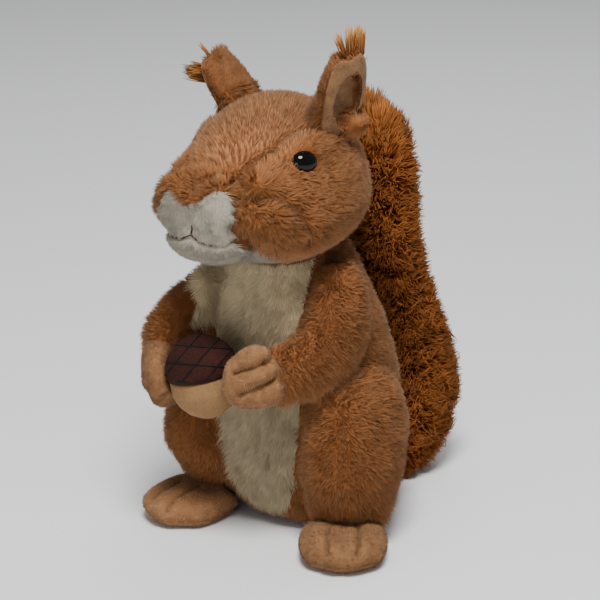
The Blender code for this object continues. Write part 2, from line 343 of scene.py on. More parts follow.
def swollen(nodes, balls=()):
    """Some solids and ellipsoids in one mesh, swollen enough to close the gaps between them."""
    swell = 0.25
    joined = bmesh.new()
    for matrix in balls:
        bmesh.ops.create_uvsphere(joined, u_segments=20, v_segments=12, radius=1, matrix=matrix)
    for node in nodes:
        joined.from_mesh(solid(node))
    bmesh.ops.remove_doubles(joined, verts=joined.verts, dist=1e-6)
    joined.normal_update()
    for vertex in joined.verts:
        vertex.co += vertex.normal * swell * MM
    mesh = bpy.data.meshes.new("swollen")
    joined.to_mesh(mesh)
    joined.free()
    return mesh


def remeshed(mesh, voxel, rounds):
    """An evenly meshed and smoothed copy."""
    obj = linked("rough", mesh)
    remesh = obj.modifiers.new("remesh", "REMESH")
    remesh.mode = "VOXEL"
    remesh.voxel_size = voxel * MM
    remesh.use_smooth_shade = True
    smooth = obj.modifiers.new("smooth", "SMOOTH")
    smooth.iterations = rounds
    bpy.context.view_layer.update()
    result = bpy.data.meshes.new_from_object(obj.evaluated_get(bpy.context.evaluated_depsgraph_get()))
    bpy.data.objects.remove(obj)
    return result


def keep_largest(mesh):
    """Removes all but the largest connected piece."""
    left, largest = set(mesh.verts), set()
    while left:
        island, ahead = set(), [next(iter(left))]
        while ahead:
            vertex = ahead.pop()
            if vertex not in island:
                island.add(vertex)
                ahead += [edge.other_vert(vertex) for edge in vertex.link_edges]
        left -= island
        largest = max(largest, island, key=len)
    bmesh.ops.delete(mesh, geom=[v for v in mesh.verts if v not in largest], context="VERTS")


def sewn(nodes, voxel, rounds, plugs=(), balls=()):
    """One smooth closed mesh round some solids, which ends flat where the plugs stand against them."""
    if not plugs:
        return remeshed(swollen(nodes, balls), voxel, rounds)
    whole = remeshed(swollen([*nodes, *plugs]), voxel, 0)
    points, _ = read(whole)
    off = distance_to(plugs, points) < distance_to(nodes, points)
    patched = bmesh.new()
    patched.from_mesh(whole)
    gone = [v for v, hidden in zip(patched.verts, off) if hidden]
    while gone:
        bmesh.ops.delete(patched, geom=gone, context="VERTS")
        keep_largest(patched)
        gone = [v for v in patched.verts if sum(edge.is_boundary for edge in v.link_edges) > 2]
    bmesh.ops.holes_fill(patched, edges=[e for e in patched.edges if e.is_boundary], sides=0)
    bmesh.ops.triangulate(patched, faces=patched.faces)
    patched.to_mesh(whole)
    patched.free()
    return remeshed(whole, voxel, rounds)


def unwrap(obj):
    """Unwraps the skin into the map that it shares with its pile."""
    for other in bpy.context.selected_objects:
        other.select_set(False)
    bpy.context.view_layer.objects.active = obj
    obj.select_set(True)
    obj.data.uv_layers.new(name="OFBake")
    bpy.ops.object.mode_set(mode="EDIT")
    bpy.ops.mesh.select_all(action="SELECT")
    bpy.ops.uv.smart_project(angle_limit=math.radians(70), island_margin=0.003)
    bpy.ops.object.mode_set(mode="OBJECT")
    obj.select_set(False)


def plump(points, normals, places, amount, radii):
    """Raises the surface round some places, or sinks it where the amount is negative."""
    for place in places:
        share = np.exp(-(((points - place) / radii) ** 2).sum(1))
        points += normals * (amount * share)[:, None]


def press(points, normals, lines, depth, width):
    """Presses a groove along each line, or raises a ridge where the depth is negative."""
    for line in lines:
        points -= normals * (depth * bell(distance_to_line(points, line), 0, width))[:, None]


# ---------------- pile

ROOT_DEPTH = 0.5  # how far the tufts reach into the skin
TAPER = 0.55  # how much thinner the last ring of a tuft is than its root
PATCH = 0.0015  # half of a tuft's place on the unwrap


def scatter(mesh, count, seed, weight):
    """Roots spread evenly over a skin: points, normals, places on the unwrap, and a function that reads the
    values of the skin's vertices at the roots."""
    mesh.calc_loop_triangles()
    corners, loops = (fetched(mesh.loop_triangles, key, 3, np.int32) for key in ("vertices", "loops"))
    uvs = fetched(mesh.uv_layers["OFBake"].data, "uv", 2)[loops]
    points, normals = read(mesh)
    a, b, c = (points[corners[:, i]] for i in range(3))
    share = np.linalg.norm(np.cross(b - a, c - a), axis=1) / 2 * weight[corners].mean(1)
    rng = np.random.default_rng(seed)
    steps = (np.arange(count) + rng.uniform(0, 1, count)) / count * share.sum()
    chosen = np.minimum(np.searchsorted(np.cumsum(share), steps), len(share) - 1)
    s, t = rng.uniform(0, 1, (2, count))
    over = s + t > 1
    s[over], t[over] = 1 - s[over], 1 - t[over]
    shares = np.stack([1 - s - t, s, t], 1)
    corners = corners[chosen]

    def carry(values):
        return (values[corners] * shares.reshape(count, 3, *[1] * (values.ndim - 1))).sum(1)

    return carry(points), unit(carry(normals)), (uvs[chosen] * shares[..., None]).sum(1), carry


def gather(roots, tips, every, pull, seed):
    """How each tip moves towards the tip of the nearest leading tuft, which draws the pile into locks."""
    rng = np.random.default_rng(seed)
    leaders = rng.choice(len(roots), max(1, len(roots) // every), replace=False)
    tree = KDTree(len(leaders))
    for i, leader in enumerate(leaders):
        tree.insert(roots[leader], i)
    tree.balance()
    nearest = leaders[[tree.find(root)[1] for root in roots]]
    return (tips[nearest] - tips) * pull


def along_skin(ways, normals):
    """What is left of some directions when they are laid on the skin."""
    return ways - normals * (ways * normals).sum(1, keepdims=True)


def raised(ways, normals, lift):
    """Directions on the skin, turned up from it by some degrees."""
    lean = np.radians(lift)[:, None]
    return ways * np.cos(lean) + normals * np.sin(lean)


def tufts(name, roots, seed, lay, length, width, lift, rings=0, curl=0.0, bend=0.0, blunt=1.0, locks=(6, 0.5),
          soft=0.7, facing=None, tone=1.0, cream=0.0):
    """One mesh of closed tufts, three-sided and tapering to a point, with some rings where they curve.

    Roots are points, normals and places on the unwrap. The rest is given for all tufts or for each: lay, the
    way it lies; lift, its angle over the skin; curl and bend, how far it turns aside, at random and as told;
    blunt, less than 1 for a thick tip; locks, how many draw together and how far; soft, how much it is shaded
    as if it faced like the skin, or like facing; tone and cream, what the pile's material reads.
    """
    places, normals, uvs = roots
    amount = len(places)
    rng = np.random.default_rng(seed)
    length = length * rng.uniform(0.82, 1.1, amount)
    width = width * rng.uniform(0.75, 1.2, amount)
    lay = unit(along_skin(lay, normals) + 1e-6)
    side = np.cross(normals, lay)
    rise = raised(lay, normals, np.broadcast_to(lift, amount))
    curl = curl * rng.normal(0, 1, amount) + bend
    steps = np.linspace(0, 1, rings + 2) ** blunt
    spine = [places - normals * ROOT_DEPTH]
    for low, high in zip(steps, steps[1:]):
        way = unit(rise + side * (curl * math.cos((low + high) / 2 * 2.6))[:, None])
        spine.append(spine[-1] + way * (length * (high - low))[:, None])
    move = gather(places, spine[-1], *locks, seed + 1)
    spine = [place + move * step**1.6 for place, step in zip(spine, steps)]
    turn = rng.uniform(0, 2 * math.pi, amount)
    facing = normals if facing is None else facing
    verts, norms, along, patch = [], [], [], []
    for k in range(rings + 1):
        size = width * (1 - TAPER * steps[k] ** 1.5) / 2
        ahead = unit(spine[k + 1] - spine[k])
        across = unit(np.cross(ahead, side + normals * 0.01))
        for corner in range(3):
            angle = turn + corner * 2 * math.pi / 3
            out = side * np.cos(angle)[:, None] + across * np.sin(angle)[:, None]
            verts.append(spine[k] + out * size[:, None])
            norms.append(unit(out * (1 - soft) + facing * soft))
            along.append(np.full(amount, steps[k]))
            patch.append(np.stack([np.cos(angle), np.full(amount, steps[k] * 2 - 1)], 1))
    verts.append(spine[-1])
    norms.append(unit(ahead * (1 - soft) + facing * soft))
    along.append(np.ones(amount))
    patch.append(np.stack([np.zeros(amount), np.ones(amount)], 1))
    each = len(verts)
    pattern = [(0, 2, 1)]
    for k in range(rings):
        for corner in range(3):
            a, b = 3 * k + corner, 3 * k + (corner + 1) % 3
            pattern += [(a, b, b + 3), (a, b + 3, a + 3)]
    pattern += [(3 * rings + c, 3 * rings + (c + 1) % 3, each - 1) for c in range(3)]
    faces = (np.array(pattern)[None] + np.arange(amount)[:, None, None] * each).reshape(-1, 3)

    def interleaved(parts):
        return np.stack(parts, 1).reshape(amount * each, -1)

    mesh = bpy.data.meshes.new(name)
    mesh.vertices.add(amount * each)
    mesh.loops.add(len(faces) * 3)
    mesh.polygons.add(len(faces))
    mesh.loops.foreach_set("vertex_index", faces.ravel().astype(np.int32))
    mesh.polygons.foreach_set("loop_start", np.arange(0, len(faces) * 3, 3, dtype=np.int32))
    write(mesh, interleaved(verts))
    mesh.update(calc_edges=True)
    mesh.shade_smooth()
    tone = tone * rng.normal(1, 0.1, amount).clip(0.7, 1.35)
    cream = np.broadcast_to(cream, amount)
    put(mesh, along=interleaved(along).ravel(), tone=np.repeat(tone, each), cream=np.repeat(cream, each))
    layer = mesh.uv_layers.new(name="OFBake")
    spots = np.repeat(uvs, each, 0) + interleaved(patch) * PATCH
    layer.data.foreach_set("uv", spots[faces.ravel()].astype(np.float32).ravel())
    mesh.normals_split_custom_set_from_vertices(interleaved(norms).tolist())
    return mesh


def coat(name, slot, material, roots, seed, **pile):
    add(name, tufts(name, roots, seed, **pile), [], slot, material)


# ---------------- head

EYE = {side: middle(f"eye_{side}") for side in SIDE}
EYE_STRETCH = 1.22  # how much wider than high the eyes show
MUZZLE_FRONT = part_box("muzzle")[0][1] / MM
MOUTH = (0, MUZZLE_FRONT + 2, 179)
NOSE_SEAM = [(0, MUZZLE_FRONT + 0.5, 195), (0, -101, 187), MOUTH]
BROW_SEAM = [
    (19, -94, 207), (20, -84, 211), (21, -75, 216), (25, -66, 220),
    (27, -60, 222), (27, -52, 226), (30, -42, 229), (36, -32, 231),
]
LIP_LINE = [MOUTH, (6, -101.5, 176), (13, -100, 175), (20, -95, 175.5), (23, -91, 178)]
LIP_DENT = [(25, -99, 194), (27, -92, 191)]
CHEEK_FOLD = [(27, -89, 201), (32, -80, 200), (39, -72, 197), (45, -65, 189), (47, -62, 179), (45, -58, 171)]
STUFFING = [  # where it plumps out both sides of the head, how far and over what radii
    ((36, -79, 185), 6.0, (9.5, 11, 9.5)),  # jowl
    ((40, -62, 172), 2.6, (12, 16, 7)),  # jaw
    ((36, -44, 223), 4.6, (8, 17, 8)),  # brow
    ((31, -79, 207), 2.4, (6, 9, 6)),  # side of the nose
    ((52, -40, 190), 1.5, (12, 16, 16)),  # cheek
]


def stretched(steps, side, amount):
    """Steps from the middle of an eye, made longer along its width."""
    way = np.array((0.5 * SIDE[side], 0.86, 0.0))
    return steps + (steps @ way)[:, None] * way * (amount - 1)


def lips(points):
    """1 on the white of lips and chin, under the tan wedge of the nose. The right lip is cut rounder."""
    x, y, z = points.T
    across = np.abs(x)
    left = np.interp(across, (0, 3, 7, 11, 16, 20), (194.5, 197, 199.5, 203, 206, 207))
    right = np.interp(across, (0, 3, 7, 11, 15, 17, 20, 26), (194.5, 196, 199, 202.5, 200.5, 197, 192.5, 187))
    nose = np.where(x > 0, left, right)
    edge = np.interp(z, (160, 166, 173, 178, 184, 190, 197, 202, 206), (28, 26, 25, 22.5, 24, 26, 26, 24, 20))
    front = ramp(-y, 82, 84) + ramp(-z, -174, -172) * ramp(-y, 50, 53)
    return ramp(nose - z, -0.4, 0.6) * ramp(edge - across, -0.5, 0.5) * np.clip(front, 0, 1)


def head_skin():
    """The stuffed and seamed skin of head and muzzle. Its pile thins out at the eyes, lips and neck."""
    mesh = sewn(FACE, 1.1, 5, ["trunk", "eye_left", "eye_right", "ear_left", "ear_right"])
    points, normals = read(mesh)
    x, y, z = points.T
    cream = lips(points)
    for place, amount, radii in STUFFING:
        plump(points, normals, both(place), amount, radii)
    plump(points, normals, [(0, -66, 226)], 3.0, (20, 28, 12))
    wedge = ramp(26 - np.abs(x), 0, 6) * ramp(z, 190, 196) * ramp(-y, 84, 92)
    points += normals * (2.4 * wedge * (1 - cream) - 0.4 * cream)[:, None]
    near_eye = np.ones(len(points))
    for side in SIDE:
        plump(points, normals, [EYE[side]], -1.2, (8, 8, 7))
        plump(points, normals, [(33 * SIDE[side], -62, 214)], -1.4, (4, 4, 4.5))
        near_eye -= 0.6 * np.exp(-((np.linalg.norm(points - EYE[side], axis=1) / 8.5) ** 4))
    press(points, normals, both(BROW_SEAM), 4.0, 2.6)
    press(points, normals, both(CHEEK_FOLD), 3.4, 2.8)
    press(points, normals, both(LIP_LINE), 2.0, 1.5)
    press(points, normals, [NOSE_SEAM], 1.7, 1.3)
    press(points, normals, both(LIP_DENT), 1.3, 1.2)
    above = distance_to(["trunk"], points)
    pile = FACE_PILE + (MUZZLE_PILE - FACE_PILE) * cream * ramp(-y, 76, 84)
    pile *= near_eye * (0.15 + 0.85 * ramp(above, 0, 5))
    # Painted shade: darker towards the trunk under the head and over the top of the head; the cream is
    # painted darker on the chin, more at its sides, and on the right lip.
    tone = 0.55 + 0.45 * ramp(above, 0, 8) - 0.28 * ramp(z, 222, 235)
    chin = ramp(-z, -178, -172) * (0.38 + 0.1 * ramp(np.abs(x), 20, 26))
    tone *= 1 - cream * np.maximum(chin, 0.36 * ramp(-x, 0, 10))
    write(mesh, points - normals * pile[:, None])
    put(mesh, cream=cream, along=0.4, tone=tone)
    skin = add("head_skin", mesh, FACE, "tan_plush", HEAD_PLUSH)
    unwrap(skin)
    return skin, cream, pile, tone


def head_lay(points):
    """Away from the inner corners of the eyes, back over the forehead and forward over the nose."""
    x, _, z = points.T
    out = np.tanh(points[:, :1] / 2)
    centre = out * (27, 0, 0) + (0, -82, 206)
    flow = unit(points - centre) + (0, 0.15, -0.1)
    panel = (ramp(z, 196, 200) * ramp(25 - np.abs(x), -3, 3))[:, None]
    back = ramp(z, 206, 216)[:, None]
    streams = (1 - back) * (0, -0.8, -0.6) + back * (0, 0.9, 0.4)
    flow = flow * (1 - panel) + streams * panel
    lip = lips(points)[:, None]
    return flow * (1 - lip) + (out * (0.5, 0, 0) + (0, 0.4, -1.0)) * lip


def rows_at(points):
    """The wavy rows painted on the forehead's pile as light on them and shade between them, -1 between them
    to 1 on them.
    """
    wander = 1.6 * ripple(points, 16, 80) + 0.5 * ripple(points, 7, 85)
    return np.sin((points[:, 1] - 0.4 * points[:, 2]) * 2.9 + wander)


def parted_at(places):
    """How far the pile of the face parts, 0 to 1, over its seams and folds."""
    z = places[:, 2]
    parted = np.zeros(len(places))
    for lines, deep in ((both(BROW_SEAM), 1.0), (both(CHEEK_FOLD), 0.6)):
        for line in lines:
            parted = np.maximum(parted, deep * bell(distance_to_line(places, line), 0, 2.6))
    return parted * (0.45 + 0.55 * np.maximum(ramp(z, 206, 217), ramp(-z, -200, -194)))


def head_coat(skin, cream, pile, tone):
    """Short plush in two halves. It stands up on the forehead, with rows of light and shade painted on it,
    and lies close on the lips.
    """
    points, normals = read(skin.data)
    outer = points + normals * pile[:, None]
    pressed = ramp(distance_to(["trunk"], outer), -0.8, 0.2)
    clear = np.ones(len(points))
    for side in SIDE:
        away = np.linalg.norm(stretched(points - EYE[side], side, 1 / EYE_STRETCH), axis=1)
        clear *= ramp(away, 5.9, 6.6)
    for line in [*both(LIP_LINE), NOSE_SEAM]:
        clear *= ramp(distance_to_line(points, line), 1.2, 2.0)
    outside = ramp(distance_to(["ear_left", "ear_right"], outer), -3.0, -2.0)
    for part, seed in (("left", 1), ("right", 2)):
        half = ramp(points[:, 0] * SIDE[part], -0.6, 0.6)
        weight = half * pressed * clear * outside * (1 + 0.8 * cream)
        place, normal, uv, carry = scatter(skin.data, 47000, seed, weight)
        x, y, z = place.T
        depth, white = carry(pile), (carry(cream) > 0.5).astype(float)
        forehead = ramp(z, 208, 216) * ramp(31 - np.abs(x), -2, 3)
        nose = ramp(-y, 80, 86) * ramp(z, 190, 196)
        neck = (1 - ramp(distance_to(["trunk"], place), 3, 7)) * (1 - 0.7 * white)
        parted = parted_at(place)
        lay = unit(head_lay(place)) * 0.9 + swirl(place, 10, 40) * 0.5
        lay += swirl(place, 3, 50) * (0.3 - 0.2 * np.maximum(forehead, nose)[:, None])
        lay = lay * (1 - neck[:, None]) - UP * neck[:, None]
        lift = 60 + 11 * ripple(place, 6, 60) * (1 - 0.8 * forehead) + 16 * forehead
        lift += (84 - lift) * bell(z, 211, 4) * ramp(24 - np.abs(x), 0, 4)
        lift += (30 - lift) * white
        length = depth / np.sin(np.radians(np.clip(lift, 26, 80))) * (1.1 - 0.25 * parted)
        length = np.maximum(length, 4.5 * neck) * (1 + 0.1 * ripple(place, 2.5, 90))
        tips = place + raised(unit(along_skin(lay, normal)), normal, lift) * length[:, None]
        # Painted light and shade: lighter on the forehead's rows and darker between them.
        shade = 1 + 0.07 * ripple(place, 7, 70) + 0.5 * (rows_at(tips) * forehead)
        coat(
            f"head_coat_{part}", "tan_plush", HEAD_PLUSH, (place, normal, uv), seed * 10, lay=lay, lift=lift,
            length=np.clip(length, 2.0 - 0.4 * white, 7), width=0.62 - 0.14 * white, locks=(5, 0.3),
            # Painted shade: darker where the pile parts over the seams and folds, times the skin's painted
            # shade.
            soft=0.78 - 0.1 * forehead[:, None], tone=shade * (1 - 0.4 * parted) * carry(tone),
            # A trace of the white pile colour on the forehead is a painted sheen that pales it.
            cream=np.maximum(white, 0.03 * forehead),
        )


# ---------------- body

SHOULDER_RIDGE = [(-40, -48, 145), (-33, -50, 135), (-30, -51, 125), (-31, -48, 115)]
FINGERS = [  # the middle of each finger of the left hand, which laps over the sleeve, and the way it lies
    ((24.5, -80, 112.5), (0.74, 0.58, 0.30)),
    ((27, -79.5, 103.5), (0.72, 0.55, 0.42)),
    ((32, -76, 93), (0.72, 0.55, 0.42)),
]
FINGER_SIZE = np.array((9.5, 6.2, 5.8))  # half its length, width and thickness


def chest_patch(points):
    """1 on the cream panel down the front of the trunk, which turns a little to the right at the chest."""
    x, y, z = points.T
    left = np.interp(z, (4, 10, 17, 33, 51, 69, 100, 140, 160), (2, 12, 19, 23, 26, 28, 29, 27, 26))
    right = np.interp(z, (4, 10, 17, 33, 51, 80, 112, 127, 134, 141), (2, 12, 19, 23, 27, 29, 31, 32, 37, 46))
    half = np.where(x > 0, left, right)
    forward = np.interp(z, (60, 140), (8, 24))
    return ramp(half - np.abs(x), -0.5, 0.5) * ramp(-y - forward, 0, 2)


def body_skin():
    """The stuffed skin of trunk, arms and legs, with the cream panel marked."""
    mesh = sewn(FLESH, 1.4, 6, [*FACE, *PAWS, "tail"])
    points, normals = read(mesh)
    x, _, z = points.T
    on_trunk = ramp(distance_to(FLESH[1:], points) - distance_to(["trunk"], points), -0.5, 1.5)
    right_shoulder = ramp(-x, 0, 1) * ramp(z, 112, 116)
    cream = chest_patch(points) * np.maximum(on_trunk, right_shoulder)
    points += normals * (0.7 * ripple(points, 24, 5))[:, None]
    press(points, normals, [SHOULDER_RIDGE], -3.5, 6)
    below = distance_to(FACE, points)
    pile = BODY_PILE * (0.15 + 0.85 * ramp(below, 0, 5))
    # Painted shade and light: darker towards the head under the chin; the cream panel painted lighter on the
    # chest and darker on the belly below.
    tone = (0.6 + 0.4 * ramp(below, 0, 8)) * (1 + cream * (0.58 * ramp(z, 92, 122) - 0.28))
    write(mesh, points - normals * pile[:, None])
    put(mesh, cream=cream, along=0.4, tone=tone)
    skin = add("body_skin", mesh, FLESH, "tan_plush", BODY_PLUSH)
    unwrap(skin)
    return skin, cream, pile, tone


def finger_axes(way):
    """The directions of a finger's length, width and thickness."""
    way = unit(np.array(way))
    outward = np.array((0.55, -0.80, 0.25))
    thick = unit(outward - way * (outward @ way))
    return np.stack([way, np.cross(thick, way), thick])


def finger_reach(points, centre, way):
    """1 on the surface of a finger, less inside it."""
    return np.linalg.norm((points - centre) @ finger_axes(way).T / FINGER_SIZE, axis=1)


def body_lay(points):
    """Down the body, outwards along the arms."""
    x, y, z = points.T
    flow = np.tile((0, 0.15, -1.0), (len(points), 1))
    flow[:, 0] += np.tanh(x / 10) * 0.25
    arm = ramp(z, 80, 92) * ramp(-y, 40, 52)
    return flow + arm[:, None] * (0, -0.2, -0.4)


def body_coat(skin, cream, pile, tone):
    """Plush in three pieces, left out where paws, acorn, head and tail press on it."""
    points, normals = read(skin.data)
    x, y, z = points.T
    outer = points + normals * pile[:, None]
    pressed = ramp(distance_to(["acorn_cap", "acorn_nut"], outer), 0.2, 1.4)
    pressed *= ramp(distance_to([*FACE, "tail"], outer), -0.8, 0.2)
    pressed *= ramp(distance_to(PAWS, outer), -1.5, -0.5)
    pressed *= ramp(z, 4.5, 6.5)
    for centre, way in FINGERS:
        pressed *= ramp(finger_reach(outer, centre, way), 0.9, 1.1)
    back = ramp(y, 14, 15)
    left, right = (ramp(x * out, -0.6, 0.6) * (1 - back) for out in (1, -1))
    areas = ("left", left, 11, 48000), ("right", right, 12, 45000), ("back", back, 13, 33000)
    for part, area, seed, amount in areas:
        place, normal, uv, carry = scatter(skin.data, amount, seed, area * pressed * (1 + 0.5 * cream))
        depth, white = carry(pile), (carry(cream) > 0.5).astype(float)
        lay = body_lay(place) * 0.9 + swirl(place, 15, 140) * 0.3
        lay += swirl(place, 3, 150) * (0.35 - 0.15 * white[:, None])
        lift = 69 + 9 * ripple(place, 5, 160) * (1 - 0.4 * white) - 20 * white
        neck = 1 - ramp(distance_to(["head"], place), 3, 7)
        length = np.clip(depth / np.sin(np.radians(lift)) * 1.1, 2 + 2 * neck, 8)
        shade = 1 + 0.07 * ripple(place, 9, 170) + 0.05 * white * ripple(place, 5, 175)
        coat(
            f"body_coat_{part}", "tan_plush", BODY_PLUSH, (place, normal, uv), seed * 10, lay=lay,
            length=length * (1 + 0.1 * ripple(place, 2.5, 180)),
            width=0.64 - 0.08 * white + 0.3 * ramp(place[:, 1], 8, 20), lift=lift, locks=(4, 0.2),
            soft=0.82, tone=shade * carry(tone), cream=white,
        )


# ---------------- ears

EAR_ROOT_SIZE = np.array((9.0, 10.0, 8.0))  # the fluffy lump under the hollow
# Painted shade: the right ear's pile is painted darker than the left.
EAR_PAINTED_SHADE = {"left": 1.0, "right": 0.7}
FIBRE_CLUMPS = {  # at each ear's tip: where the clumps stand, their way, how many fibres and how far apart
    "left": [
        ((0, -5, 0), (-0.1, -0.45, 1.0), 40, 0.7),
        ((0, 0, 0), (0, -0.05, 1.0), 60, 0.8),
        ((0.5, 6, 0), (0, 0.03, 1.0), 120, 1.5),
    ],
    "right": [
        ((0, 0, -2), (-1.0, -0.1, 0.03), 150, 1.7),
        ((0, -1, 0), (-1.0, 0.1, -0.1), 120, 1.7),
        ((0, 0, 8), (-0.6, -0.2, 0.75), 9, 0.3),
    ],
}


def ear(side):
    """A plush shell with a velour hollow, over a fluffy lump."""
    node = f"ear_{side}"
    out = SIDE[side]
    root = np.array((38.0 * out, -10, 227))
    mesh = sewn([node], 0.8, 6, balls=[ellipsoid(root, np.diag(EAR_ROOT_SIZE))])
    points, normals = read(mesh)
    above = distance_to(["head"], points)
    fluffy = 1 - ramp(np.linalg.norm((points - root) / EAR_ROOT_SIZE, axis=1), 1.05, 1.2)
    outward = unit(np.array((out, 0.2, 0)))
    lining = ramp(normals @ outward, 0.15, 0.45) * ramp(above, 1, 3) * (1 - fluffy)
    pile = EAR_PILE * (1 - lining) + VELOUR_PILE * lining + 1.5 * fluffy
    sunk = unit(middle("head") - middle(node)) * ((1 - ramp(above, 0, 5)) * FACE_PILE)[:, None]
    write(mesh, points - normals * pile[:, None] + sunk)
    put(mesh, lining=lining)
    skin = add(f"ear_skin_{side}", mesh, [node], "tan_plush", EAR_CLOTH)
    unwrap(skin)
    top = read(mesh)[0][:, 2].max()
    tip = np.array((0.3 * out, -0.15, 1.0))
    place, normal, uv, carry = scatter(mesh, 9500, 21, (1 - lining) * ramp(above, -2.0, -0.5))
    x, _, z = place.T
    fringe = np.maximum(1 - ramp(distance_to(["head"], place), 5, 12), 0.7 * ramp(z, top - 5, top))
    fold = bell(x, np.interp(z, (root[2], top), (root[0], middle(f"ear_tuft_{side}")[0])), 5)
    # Painted shade down the ear's middle fold; lighter on the fluffy lump at the root and a little on the
    # fringe.
    shade = 0.92 + 0.08 * fringe + 0.3 * carry(fluffy) - 0.16 * fold + 0.1 * ripple(place, 6, 250)
    coat(
        f"ear_coat_{side}", "tan_plush", HEAD_PLUSH, (place, normal, uv), 210,
        lay=tip * (1 - 1.5 * fringe[:, None]) + swirl(place, 8, 240) * 0.4, length=3.2 + 3.3 * fringe,
        width=0.62, lift=54 + 10 * ripple(place, 5, 245), locks=(5, 0.35), soft=0.78,
        tone=shade * EAR_PAINTED_SHADE[side],
    )
    place, normal, uv, _ = scatter(mesh, 4500, 22, lining)
    coat(
        f"ear_nap_{side}", "beige_velour", NAP, (place, normal, uv), 220,
        lay=tip + swirl(place, 5, 260) * 0.3, length=1.1, width=0.42, lift=40, tone=1.2,
    )


def ear_fibres(side):
    """Clumps of long fibres that fan out of the ear's tip, up on the left and outwards on the right."""
    low, high = (np.array(corner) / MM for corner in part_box(f"ear_tuft_{side}"))
    if side == "left":
        root, reach, round_to, seed = (45, -23, low[2]), high[2] - low[2] + 1, (0.6, 1, 0.6), 31
    else:
        centre = (low[2] + high[2]) / 2
        root, reach, round_to, seed = (high[0] - 1, -29, centre - 3), high[0] - low[0], (0.6, 1, 1), 32
    rng = np.random.default_rng(seed)
    places, ways, lengths = [], [], []
    for offset, way, amount, spread in FIBRE_CLUMPS[side]:
        places.append(np.array(root) + offset + rng.normal(0, spread, (amount, 3)) * round_to)
        ways.append(unit(np.array(way)) + rng.normal(0, 0.06, (amount, 3)))
        lengths.append(reach * rng.uniform(0.85, 1.05, amount) * (0.6 if amount < 20 else 1))
    places, ways = np.concatenate(places), unit(np.concatenate(ways))
    normals = unit(np.cross(ways, rng.normal(size=ways.shape)))
    roots = places, normals, rng.uniform(0.05, 0.95, (len(places), 2))
    name = f"ear_fibres_{side}"
    mesh = tufts(
        name, roots, 310, lay=ways, length=np.concatenate(lengths), width=0.75, lift=0, rings=2, curl=0.12,
        locks=(14, 0.35), soft=0.3,
    )
    add(name, mesh, [f"ear_tuft_{side}"], "orange_fibre", FIBRES)


# ---------------- paws

# Each paw's seed, and the brightness of its nap: painted light and shade, lighter on the right foot and left
# hand, darker on the left foot and right hand.
NAP_OF = {"foot_left": (61, 0.7), "foot_right": (62, 1.3), "hand_left": (63, 1.12), "hand_right": (64, 0.8)}
HAND_SEAMS = {
    "left": (
        ((33, -77, 111), (27, -84, 108), (20, -90, 105)),
        ((36, -74, 102), (30, -81, 98), (23, -88, 93)),
    ),
    "right": (((-50, -76, 98), (-42, -90, 92)), ((-47, -80, 86), (-37, -92, 82))),
}
FOOT_SEAMS = {  # the middle of each foot, how many degrees it turns, and how far aside its two seams run
    "left": ((62, -50), 36, (-8, 8.5)),
    "right": ((-43, -51), 5, (-9, 3.5)),
}


def paw(node, seams):
    """A velour mitten or foot with seams between its fingers or toes, and its nap."""
    fingers = FINGERS if node == "hand_left" else []
    balls = [ellipsoid(centre, finger_axes(way) * FINGER_SIZE[:, None]) for centre, way in fingers]
    mesh = sewn([node], 0.9, 8, balls=balls)
    points, normals = read(mesh)
    deep = np.zeros(len(points))
    for line in seams:
        near = distance_to_line(points, line)
        deep = np.maximum(deep, bell(near, 0, 1.0))
        points += normals * (0.9 * bell(near, 5, 3))[:, None]
    points -= normals * (2.4 * deep)[:, None]
    pile = np.full(len(points), VELOUR_PILE)
    if node.startswith("foot"):
        pile *= ramp(points[:, 2], 0.3, 1.2)
        sole = bell(points[:, 2], 4.5, 0.9)
        points -= normals * (0.9 * sole)[:, None]
        deep = np.maximum(deep, 0.5 * sole)
    write(mesh, points - normals * pile[:, None])
    put(mesh, deep=deep)
    skin = add(f"{node}_skin", mesh, [node], "beige_velour", PAW)
    unwrap(skin)
    seed, shade = NAP_OF[node]
    clear = ramp(read(mesh)[0][:, 2], 1.0, 1.6) * (1 - 0.9 * deep)
    place, normal, uv, _ = scatter(mesh, 7200, seed, clear)
    coat(
        f"{node}_nap", "beige_velour", NAP, (place, normal, uv), seed * 10,
        lay=swirl(place, 9, seed) * 0.8 + (0, -0.5, -0.4), length=2.0, width=0.46, lift=55,
        locks=(4, 0.35), soft=0.68, tone=shade + 0.2 * ripple(place, 4, seed + 5),
    )


def foot_seams(side):
    """Two seams on top of a foot, from under the leg towards the toes."""
    centre, turned, aside = FOOT_SEAMS[side]
    turn = math.radians(turned)
    across, ahead = np.array((math.cos(turn), math.sin(turn))), np.array((math.sin(turn), -math.cos(turn)))
    tree = tree_of(solid(f"foot_{side}"))
    seams = []
    for s in aside:
        line = [centre + across * s + ahead * a for a in range(-4, 50, 3)]
        hits = [tree.ray_cast(Vector((x, y, 60)) * MM, Vector((0, 0, -1)))[0] for x, y in line]
        seams.append([np.array(hit) / MM for hit in hits if hit])
    return seams


# ---------------- tail


def tail_core(points):
    """Moves the tail's surface to its stuffed core, towards the middle of each level."""
    levels = np.linspace(points[:, 2].min(), points[:, 2].max(), 24)
    centres = []
    for level in levels:
        near = points[np.abs(points[:, 2] - level) < 8]
        centres.append((near[:, 1].min() + near[:, 1].max()) / 2)
    centre = np.interp(points[:, 2], levels, centres)
    core = points.copy()
    core[:, 0] *= 0.66
    core[:, 1] = centre + (points[:, 1] - centre) * 0.56
    core[:, 2] = 6 + points[:, 2] * (levels[-1] - 19) / levels[-1]
    return core


def reach_of(tree, places, ways):
    """How far a surface is from some places along some directions, within what suits the pile."""
    reach = []
    for start, way in zip(places, ways):
        hit = tree.ray_cast(Vector(start * MM), Vector(way))[3]
        reach.append(hit / MM if hit else 12)
    return np.clip(np.array(reach), 4, 24)


